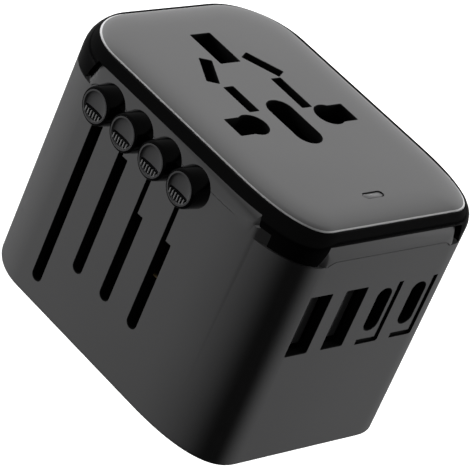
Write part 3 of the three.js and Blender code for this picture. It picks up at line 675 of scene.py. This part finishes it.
def make_casing():
    casing = plan_block("moulded_casing", 0, SPLIT_Z)
    open_mesh(casing)
    select_faces(casing, facing((0, 0, -1)))
    bpy.ops.mesh.region_to_loop()
    round_edges(BOTTOM_EDGE, 6)
    close_mesh()
    paint(casing, "shell_plastic")
    tabs = paint(plan_block("tabs", SPLIT_Z - TAB_LAP, SHELL_HIGH.z), "shell_plastic")
    # The hollowing cutter is near-black inner_plastic, so the tabs' insides take painted shade.
    combine(tabs, paint(plan_block("tool", 0, 60, (TAB_WALL, TAB_WALL)), "inner_plastic"))
    combine(tabs, tab_tools(), "INTERSECT")
    combine(casing, tabs, "UNION")
    # Near-black inner_plastic on the casing's inside: painted shade.
    combine(casing, paint(plan_block("tool", -1, SPLIT_Z + 1, (WALL, WALL)), "inner_plastic"))
    for (y0, y1), (z0, z1), reach in RIBS_INSIDE:
        add_rib(casing, (LEFT_X + 1, y0, z0), (LEFT_X + reach, y1, z1))
    for name, slit_z in LANES.items():
        cut_lane(casing, name, slit_z)
    middle_z = (PORT_LOW + PORT_HIGH) / 2
    for x in WIDE_PORTS:
        size = (WIDE_PORT, PORT_HIGH - PORT_LOW)
        cut_hole(casing, "front", (x, FRONT_Y, middle_z), size, HOLE_DEPTH / 2, 0.3)
    small_z = (SMALL_PORT_LOW + SMALL_PORT_HIGH) / 2
    for x in SMALL_PORTS:
        size = (SMALL_PORT, SMALL_PORT_HIGH - SMALL_PORT_LOW)
        cut_hole(casing, "front", (x, FRONT_Y, small_z), size, HOLE_DEPTH / 2, size[0] / 2)
    for left, right in GROOVES:
        combine(casing, on_face(groove_tool(left, right), "front", (0, FRONT_Y, 0)))
    clean(casing)
    return finish(casing, "case", "shell_plastic", "outer_shell")


# ---------------------------------------------------------------- ring

# height, and how far the ring has drawn in across and along by then
RING_SHOULDER = (
    (46.6, 0, 0), (47.6, 0.08, 0.06), (48.6, 0.32, 0.25),
    (49.4, 0.72, 0.55), (50.0, 1.2, 0.85), (50.5, 1.8, 1.2),
)


def make_ring():
    ring = plan_block("gloss_ring", RING_LOW.z, RING_SHOULDER[0][0])
    open_mesh(ring)
    select_faces(ring, facing(UP))
    for (z0, *inset0), (z1, *inset1) in zip(RING_SHOULDER, RING_SHOULDER[1:]):
        step_in(ring, z1, z1 - z0, inset0, inset1)
    close_mesh()
    paint(ring, "gloss_black")
    recess = [value - SEAM for value in PLATE_INSET]
    combine(ring, paint(plan_block("tool", PLATE_LOW.z - 0.2, 60, recess), "gloss_black"))
    combine(ring, paint(plan_block("tool", 40, 60, (3.6, 3.6)), "gloss_black"))
    windows = paint(tab_tools(flat=False), "gloss_black")
    open_mesh(windows)
    bpy.ops.mesh.select_all(action="SELECT")
    bpy.ops.transform.shrink_fatten(value=SEAM * MM)
    close_mesh()
    combine(ring, windows)
    clean(ring)
    return finish(ring, "case", "gloss_black", "top_ring")


# ---------------------------------------------------------------- socket plate

def cut_socket(plate):
    """The multi-standard pattern: earth slot, straight and slanted blade slots, pin holes and oval."""
    top = PLATE_HIGH.z

    def cut(x, y, size, corner=0.25, degrees=0.0):
        cut_hole(plate, "top", (x, y, top), size, HOLE_DEPTH, corner, math.radians(degrees))

    cut(0, SOCKET_Y + EARTH_SLOT["up"], EARTH_SLOT["size"])
    cut(-BLADE_SLOTS["x"], SOCKET_Y + BLADE_SLOTS["up"], BLADE_SLOTS["left"])
    cut(BLADE_SLOTS["x"], SOCKET_Y + BLADE_SLOTS["up"], BLADE_SLOTS["right"])
    for side in (-1, 1):
        turn = side * SLANT_SLOTS["turn"]
        cut(side * SLANT_SLOTS["x"], SOCKET_Y + SLANT_SLOTS["up"], SLANT_SLOTS["size"], degrees=turn)
    cut(0, SOCKET_Y + OVAL["up"], OVAL["size"], OVAL["size"][0] / 2)
    for side in (-1, 1):
        cut(side * PIN_HOLES["square_x"], SOCKET_Y, PIN_HOLES["square"])
        cut(side * PIN_HOLES["round_x"], SOCKET_Y, PIN_HOLES["round"], PIN_HOLES["round"][0] / 2)


def make_plate():
    plate = plan_block("socket_face", PLATE_LOW.z, PLATE_EDGE_Z, PLATE_INSET)
    open_mesh(plate)
    select_faces(plate, facing(UP))
    before = PLATE_INSET, PLATE_EDGE_Z
    for inward, rise in PLATE_SHOULDER:
        to_inset = tuple(value + inward for value in PLATE_INSET)
        z = PLATE_EDGE_Z + rise
        step_in(plate, z, z - before[1], before[0], to_inset)
        before = to_inset, z
    close_mesh()
    # The shoulder's first, steep facet takes the light edge finish: a painted highlight line round the plate.
    paint(plate, "plate_plastic", "plate_edge_painted_highlight")
    highlight_facet_top = (PLATE_EDGE_Z + PLATE_SHOULDER[0][1]) * MM
    paint_faces(plate, lambda f: f.center.z < highlight_facet_top and 0.05 < f.normal.z < 0.95, 1)
    cut_socket(plate)
    lens_y = (LENS_LOW.y + LENS_HIGH.y) / 2
    lens_size = (LENS_HIGH.x - LENS_LOW.x + 2 * SEAM, LENS_HIGH.y - LENS_LOW.y + 2 * SEAM)
    cut_hole(plate, "top", (0, lens_y, PLATE_HIGH.z), lens_size, HOLE_DEPTH, lens_size[1] / 2, flare=0.08)
    clean(plate)
    return finish(plate, "case", "plate_plastic", "socket_plate")


def make_lens():
    low, high = LENS_LOW, LENS_HIGH
    lens = block("status_window", low, high)
    open_mesh(lens)
    select_edges(lens, along(UP))
    round_edges((high.y - low.y) * 0.499, 10)
    select_faces(lens, facing(UP))
    bpy.ops.mesh.region_to_loop()
    round_edges(0.12, 2)
    close_mesh()
    paint(lens, "lens")
    return finish(lens, "case", "lens", "status_lens")


# ---------------------------------------------------------------- knobs

KNOB_AXIS = Matrix.Rotation(-math.pi / 2, 4, "Y")     # a knob drawn upright points out to the left
KNOB_LENGTH = 3.9
KNOB_TIP = 3.5
STEM_SHIFT = 0.75
SCOOP = ((0.3, 0), (0.16, -0.18), (0.4, -0.2), (0.6, -0.14), (0.8, -0.08))
LEDGE_TOP = 3.7
LEDGE_EDGE = -0.75        # the ledge starts this far from the knob's axis
RIBS = 6
RIB_PITCH = 0.72
RIB_HALF = 0.16
RIB_START = -1.05
RIB_REACH = 2.35          # the middle ribs reach this far down
RIB_FALL = 0.09           # and the outer ones less, to follow the round edge
STEM_HALF = {"high": 1.5, "thick": 0.25}
FOOT_HALF = 1.3


def make_cap():
    """A knob's cap, drawn upright: tapered barrel, scooped face, and a ledge with grip ribs below it."""
    low, high = corners("eu_knob")
    radius = (high.y - low.y) / 2
    cap = rod("knob", radius, 0, KNOB_LENGTH, 56)
    open_mesh(cap)
    select_faces(cap, facing(UP))
    widen(KNOB_TIP / radius, KNOB_TIP / radius, 1, (0, 0, KNOB_LENGTH))
    bpy.ops.mesh.region_to_loop()
    round_edges(0.45, 5)
    select_faces(cap, facing((0, 0, -1)))
    bpy.ops.mesh.region_to_loop()
    round_edges(0.3, 3)
    select_faces(cap, facing(UP))
    for width, depth in SCOOP:
        inset(width, depth)
    close_mesh()
    paint(cap, "gloss_black", "knob_face", "knob_mark")
    paint_faces(cap, lambda f: f.normal.z > 0.2 and f.center.xy.length < 2.9 * MM, 1)
    ledge = rod("ledge", KNOB_TIP - 0.7, KNOB_LENGTH - 1.2, LEDGE_TOP, 48)
    open_mesh(ledge)
    cut_flat((LEDGE_EDGE, 0, 0), (1, 0, 0), clear=True)
    select_edges(ledge, lambda e: middle(e).z > LEDGE_TOP - 0.01)
    round_edges(0.1, 2)
    close_mesh()
    combine(cap, paint(ledge, "gloss_black"), "UNION")
    for number in range(RIBS):
        y = (number - (RIBS - 1) / 2) * RIB_PITCH
        reach = RIB_REACH - RIB_FALL * y * y
        start = (-reach, y - RIB_HALF, LEDGE_TOP - 0.5)
        rib = block("rib", start, (RIB_START, y + RIB_HALF, KNOB_LENGTH - 0.03))
        open_mesh(rib)
        select_faces(rib, facing(UP))
        bpy.ops.mesh.region_to_loop()
        round_edges(0.08, 2)
        close_mesh()
        combine(cap, paint(rib, "knob_mark"), "UNION")
    return cap


def add_stem(knob):
    """The flat stem through the slot and the square foot behind it, set off from the cap's own axis."""
    low, top = corners("eu_knob")
    stem_at = centre_of("eu_knob_spring") - centre_of("eu_knob")
    up, aside = stem_at.z, stem_at.y
    back = low.x + KNOB_LENGTH - top.x
    across = aside + STEM_SHIFT
    high, thick = STEM_HALF["high"], STEM_HALF["thick"]
    stem = block("stem", (up - high, across - thick, back + 0.7), (up + high, across + thick, 0.4))
    open_mesh(stem)
    select_faces(stem, facing((0, 0, -1)))
    inset(0.08)
    draw_out(z=-0.1)
    close_mesh()
    half = FOOT_HALF
    foot = block("foot", (up - half, aside - half, back), (up + half, aside + half, back + 1))
    open_mesh(foot)
    bpy.ops.mesh.select_all(action="SELECT")
    round_edges(0.15, 2)
    close_mesh()
    combine(knob, paint(stem, "gloss_black"), "UNION")
    return combine(knob, paint(foot, "gloss_black"), "UNION")


def make_knobs():
    pattern = add_stem(make_cap())
    for name in LANES:
        low, high = corners(name + "_knob")
        place = Vector((low.x + KNOB_LENGTH, (low.y + high.y) / 2, (low.z + high.z) / 2)) * MM
        knob = copy_of(pattern, name + "_slide_knob")
        settle(knob, Matrix.Translation(place) @ KNOB_AXIS)
        finish(knob, name + "_button", "gloss_black", name + "_knob")
        knob.visible_shadow = False     # else the cross light draws it along the wall
    bpy.data.objects.remove(pattern)


# ---------------------------------------------------------------- plug pins

EU_PIN = 2                # radius
EU_BARE = 9               # bare metal below the sleeve
FLAT_BARE = 8.5
UK_PIN, UK_EARTH = (6.35, 4), (4, 8)
AU_BLADE, US_BLADE = (1.6, 6.35), (1.5, 6.35)
AU_TURN = math.radians(30)
PIN_ROOT = 2.5            # the node's tang above the pin's shank
TIP_HIGH = 1.6


def flat_pin(node, body, slot, size, sleeve, turn=0):
    """A flat pin with a drawn-in tip, and an insulating sleeve at its root where the standard has one."""
    low, high = corners(node)
    wide, deep = size
    top = high.z - PIN_ROOT
    pin = block(node + "_shaped", (-wide / 2, -deep / 2, low.z), (wide / 2, deep / 2, top))
    open_mesh(pin)
    cut_flat((0, 0, low.z + TIP_HIGH), UP)
    select_faces(pin, facing((0, 0, -1)))
    widen(0.72, 0.72, 1, (0, 0, low.z))
    for z in sleeve:
        cut_flat((0, 0, z), UP)
    select_edges(pin, lambda e: middle(e).z < low.z + 0.1)
    round_edges(0.35, 4)
    select_edges(pin, lambda e: abs((e.verts[1].co - e.verts[0].co).z) > 0.5 * MM)
    round_edges(0.25, 3)
    close_mesh()
    paint(pin, slot, "sleeve_plastic")
    if sleeve:
        paint_faces(pin, lambda f: f.center.z > sleeve[0] * MM, 1)
    middle_xy = ((low.x + high.x) / 2, (low.y + high.y) / 2, 0)
    settle(pin, Matrix.Translation(Vector(middle_xy) * MM) @ Matrix.Rotation(turn, 4, "Z"))
    return finish(pin, body, slot, node)


def round_pin(node, body, slot, radius, sleeve_z):
    """A round pin with a domed tip and an insulating sleeve over its root."""
    low, high = corners(node)
    pin = rod(node + "_shaped", radius, low.z, high.z - PIN_ROOT, 32)
    open_mesh(pin)
    select_faces(pin, facing((0, 0, -1)))
    bpy.ops.mesh.region_to_loop()
    round_edges(1.3, 6)
    cut_flat((0, 0, sleeve_z), UP)
    close_mesh()
    paint(pin, slot, "sleeve_plastic")
    paint_faces(pin, lambda f: f.center.z > sleeve_z * MM, 1)
    middle_xy = ((low.x + high.x) / 2, (low.y + high.y) / 2, 0)
    settle(pin, Matrix.Translation(Vector(middle_xy) * MM))
    return finish(pin, body, slot, node)


def make_pins():
    for side, sign in (("left", -1), ("right", 1)):
        round_pin("eu_pin_" + side, "eu_set", "nickel", EU_PIN, corners("eu_pin_" + side)[0].z + EU_BARE)
        low = corners("uk_pin_" + side)[0].z
        flat_pin("uk_pin_" + side, "uk_set", "brass", UK_PIN, [low + FLAT_BARE])
        low = corners("au_blade_" + side)[0].z
        flat_pin("au_blade_" + side, "au_set", "brass", AU_BLADE, [low + FLAT_BARE], sign * AU_TURN)
        flat_pin("us_blade_" + side, "us_set", "brass", US_BLADE, [])
    flat_pin("uk_earth_pin", "uk_set", "brass", UK_EARTH, [])


# ---------------------------------------------------------------- base

ROOM = 1.2                # a pin's aperture is this much larger than the pin
SCREW_HEAD = 1.7


def roomy(size):
    return tuple(value + ROOM for value in size)


def make_base():
    wall = HALF_WIDTH - BASE_HIGH.x
    base = plan_block("base_cover", BASE_LOW.z, BASE_HIGH.z, (wall, wall))
    open_mesh(base)
    select_faces(base, facing((0, 0, -1)))
    bpy.ops.mesh.region_to_loop()
    round_edges(0.3, 3)
    close_mesh()
    paint(base, "shell_plastic")

    def cut(x, y, size, corner=0.4, turn=0.0, flare=0.3):
        cut_hole(base, "bottom", (x, y, BASE_LOW.z), size, HOLE_DEPTH, corner, turn, flare)

    for side in (-1, 1):
        cut(side * 9.5, 27.8, roomy((2 * EU_PIN, 2 * EU_PIN)), EU_PIN + ROOM / 2)
        cut(side * 11.1, -12.63, roomy(UK_PIN))
        cut(side * 6.85, 1.6, roomy(AU_BLADE), turn=-side * AU_TURN)
        cut(side * 6.35, -6.2, roomy(US_BLADE))
    cut(0, 9.6, roomy(UK_EARTH))
    for number in range(1, 5):
        low, high = corners(f"case_screw_{number}")
        x, y = (low.x + high.x) / 2, (low.y + high.y) / 2
        cut(x, y, (2 * SCREW_HEAD + 0.6,) * 2, SCREW_HEAD + 0.3)
    clean(base)
    return finish(base, "case", "shell_plastic", "base_plate")


# ---------------------------------------------------------------- ports' tongues

def make_tongue(node, contacts, contact_high):
    """A port's tongue with its row of sprung contacts let into one side."""
    low, high = corners(node)
    tongue = block(node + "_shaped", low, high)
    open_mesh(tongue)
    select_faces(tongue, facing((0, -1, 0)))
    bpy.ops.mesh.region_to_loop()
    round_edges(0.2, 3)
    close_mesh()
    # The tongue's finish is lighter than its plastic so it shows in the port's shade: painted light.
    paint(tongue, "tongue_plastic_painted_light")
    pitch = (high.z - low.z) / (contacts + 0.6)
    for number in range(contacts):
        z = (low.z + high.z) / 2 + (number - (contacts - 1) / 2) * pitch
        start = (low.x - 1, low.y + 0.8, z - contact_high / 2)
        tool = block("tool", start, (low.x + 0.15, low.y + 7, z + contact_high / 2))
        open_mesh(tool)
        select_edges(tool, along((1, 0, 0)))
        round_edges(contact_high / 3, 3)
        close_mesh()
        combine(tongue, paint(tool, "port_metal"))
    return finish(tongue, "case", "inner_plastic", node)


def make_tongues():
    for number in (1, 2):
        make_tongue(f"usb_a_tongue_{number}", 4, 1.2)
        make_tongue(f"usb_c_tongue_{number}", 5, 0.5)


# ---------------------------------------------------------------- carried-over nodes

OWN_FINISH = {"usb_a_shell_1": "port_metal", "usb_a_shell_2": "port_metal",
              "usb_c_shell_1": "port_metal", "usb_c_shell_2": "port_metal"}


def dress_nodes():
    """Gives every working part that stays its own finish in place of the plain one."""
    for row in frame["record"]["subparts"]:
        node = frame["nodes"][row["node"]]
        finish_name = OWN_FINISH.get(row["node"], row["material_slot"])
        for place in node.material_slots:
            place.material = FINISHES[finish_name]
        if not node.material_slots:
            node.data.materials.append(FINISHES[finish_name])


# ---------------------------------------------------------------- stage, lights and camera

def softbox(name, place, target, size, power):
    """A rectangular softbox at a place, looking at a target, kept out of reflections."""
    deselect()
    place, target = Vector(place) * MM, Vector(target) * MM
    turn = (place - target).to_track_quat("Z", "Y").to_euler()
    bpy.ops.object.light_add(type="AREA", location=place, rotation=turn)
    lamp = bpy.context.object
    lamp.name = name
    lamp.data.shape = "RECTANGLE"
    lamp.data.size, lamp.data.size_y = size[0] * MM, size[1] * MM
    lamp.data.energy = power
    lamp.visible_camera = False
    lamp.visible_glossy = False
    return lamp


FLOOR_Z = -24.5
FLOOR_TONE_AROUND = 0.04  # what the floor sends back to the part
FLOOR_TONE_SEEN = 0.35
FLOOR_LIFT = 0.85


def make_floor():
    """A plain pale floor, low enough for the longest pins to come out above it."""
    deselect()
    bpy.ops.mesh.primitive_plane_add(size=6, location=(0, 0, FLOOR_Z * MM))
    floor = bpy.context.object
    floor.name = "studio_floor"
    bpy.ops.object.transform_apply(location=True, rotation=True, scale=True)
    pale = bpy.data.materials.new("studio_paper")
    pale.use_nodes = True
    tree = pale.node_tree
    surface = tree.nodes["Principled BSDF"]
    surface.inputs["Roughness"].default_value = 0.9
    surface.inputs["Specular IOR Level"].default_value = 0
    seen = tree.nodes.new("ShaderNodeLightPath")
    tone = tree.nodes.new("ShaderNodeMix")
    tone.data_type = "RGBA"
    tone.inputs["A"].default_value = (*(FLOOR_TONE_AROUND,) * 3, 1)
    tone.inputs["B"].default_value = (*(FLOOR_TONE_SEEN,) * 3, 1)
    tree.links.new(seen.outputs["Is Camera Ray"], tone.inputs["Factor"])
    tree.links.new(tone.outputs["Result"], surface.inputs["Base Color"])
    surface.inputs["Emission Color"].default_value = (1, 1, 1, 1)
    lift = sum_of(tree, ("MULTIPLY", seen.outputs["Is Camera Ray"], FLOOR_LIFT))
    tree.links.new(lift, surface.inputs["Emission Strength"])
    floor.data.materials.append(pale)


AIR_LEVEL = 0.03
AIR_SHINE = 0.12          # added where the air shows in a reflection


def make_world():
    world = bpy.data.worlds.new("studio_air")
    bpy.context.scene.world = world
    world.use_nodes = True
    tree = world.node_tree
    air = tree.nodes["Background"]
    seen = tree.nodes.new("ShaderNodeLightPath")
    shine = sum_of(tree, ("MULTIPLY", seen.outputs["Is Glossy Ray"], AIR_SHINE), ("ADD", None, AIR_LEVEL))
    level = sum_of(tree, ("MAXIMUM", seen.outputs["Is Camera Ray"], shine))
    tree.links.new(level, air.inputs["Strength"])
    air.inputs["Color"].default_value = (1, 1, 1, 1)


MIDDLE_OF_PART = (0, 0, 26)
LAMPS = (
    ("left_panel", (-300, 400, 70), (140, 260), 4.5),
    ("front_panel", (400, -300, 70), (140, 260), 4.9),
    ("top_box", (560, 560, 310), (340, 340), 18.5),
)


def make_lights():
    """Upright faces are lit across from their far ends, so near corners stay dark; a box lights the top."""
    for name, place, size, power in LAMPS:
        softbox(name, place, MIDDLE_OF_PART, size, power)


CAMERA_PLACE = (-405.49, -306.78, 314.08)
CAMERA_TURN = (58.061, -20.506, -40.749)
CAMERA_LENS = 248.25


def make_camera():
    deselect()
    bpy.ops.object.camera_add(
        location=Vector(CAMERA_PLACE) * MM, rotation=Euler([math.radians(a) for a in CAMERA_TURN])
    )
    camera = bpy.context.object
    camera.name = "camera"
    camera.data.lens = CAMERA_LENS
    camera.data.sensor_width = 36
    camera.data.clip_start = 0.05
    bpy.context.scene.camera = camera


make_floor()
make_world()
make_lights()
make_camera()
bpy.context.scene.view_settings.view_transform = "Standard"

make_casing()
make_ring()
make_plate()
make_lens()
make_knobs()
make_base()
make_pins()
make_tongues()
dress_nodes()
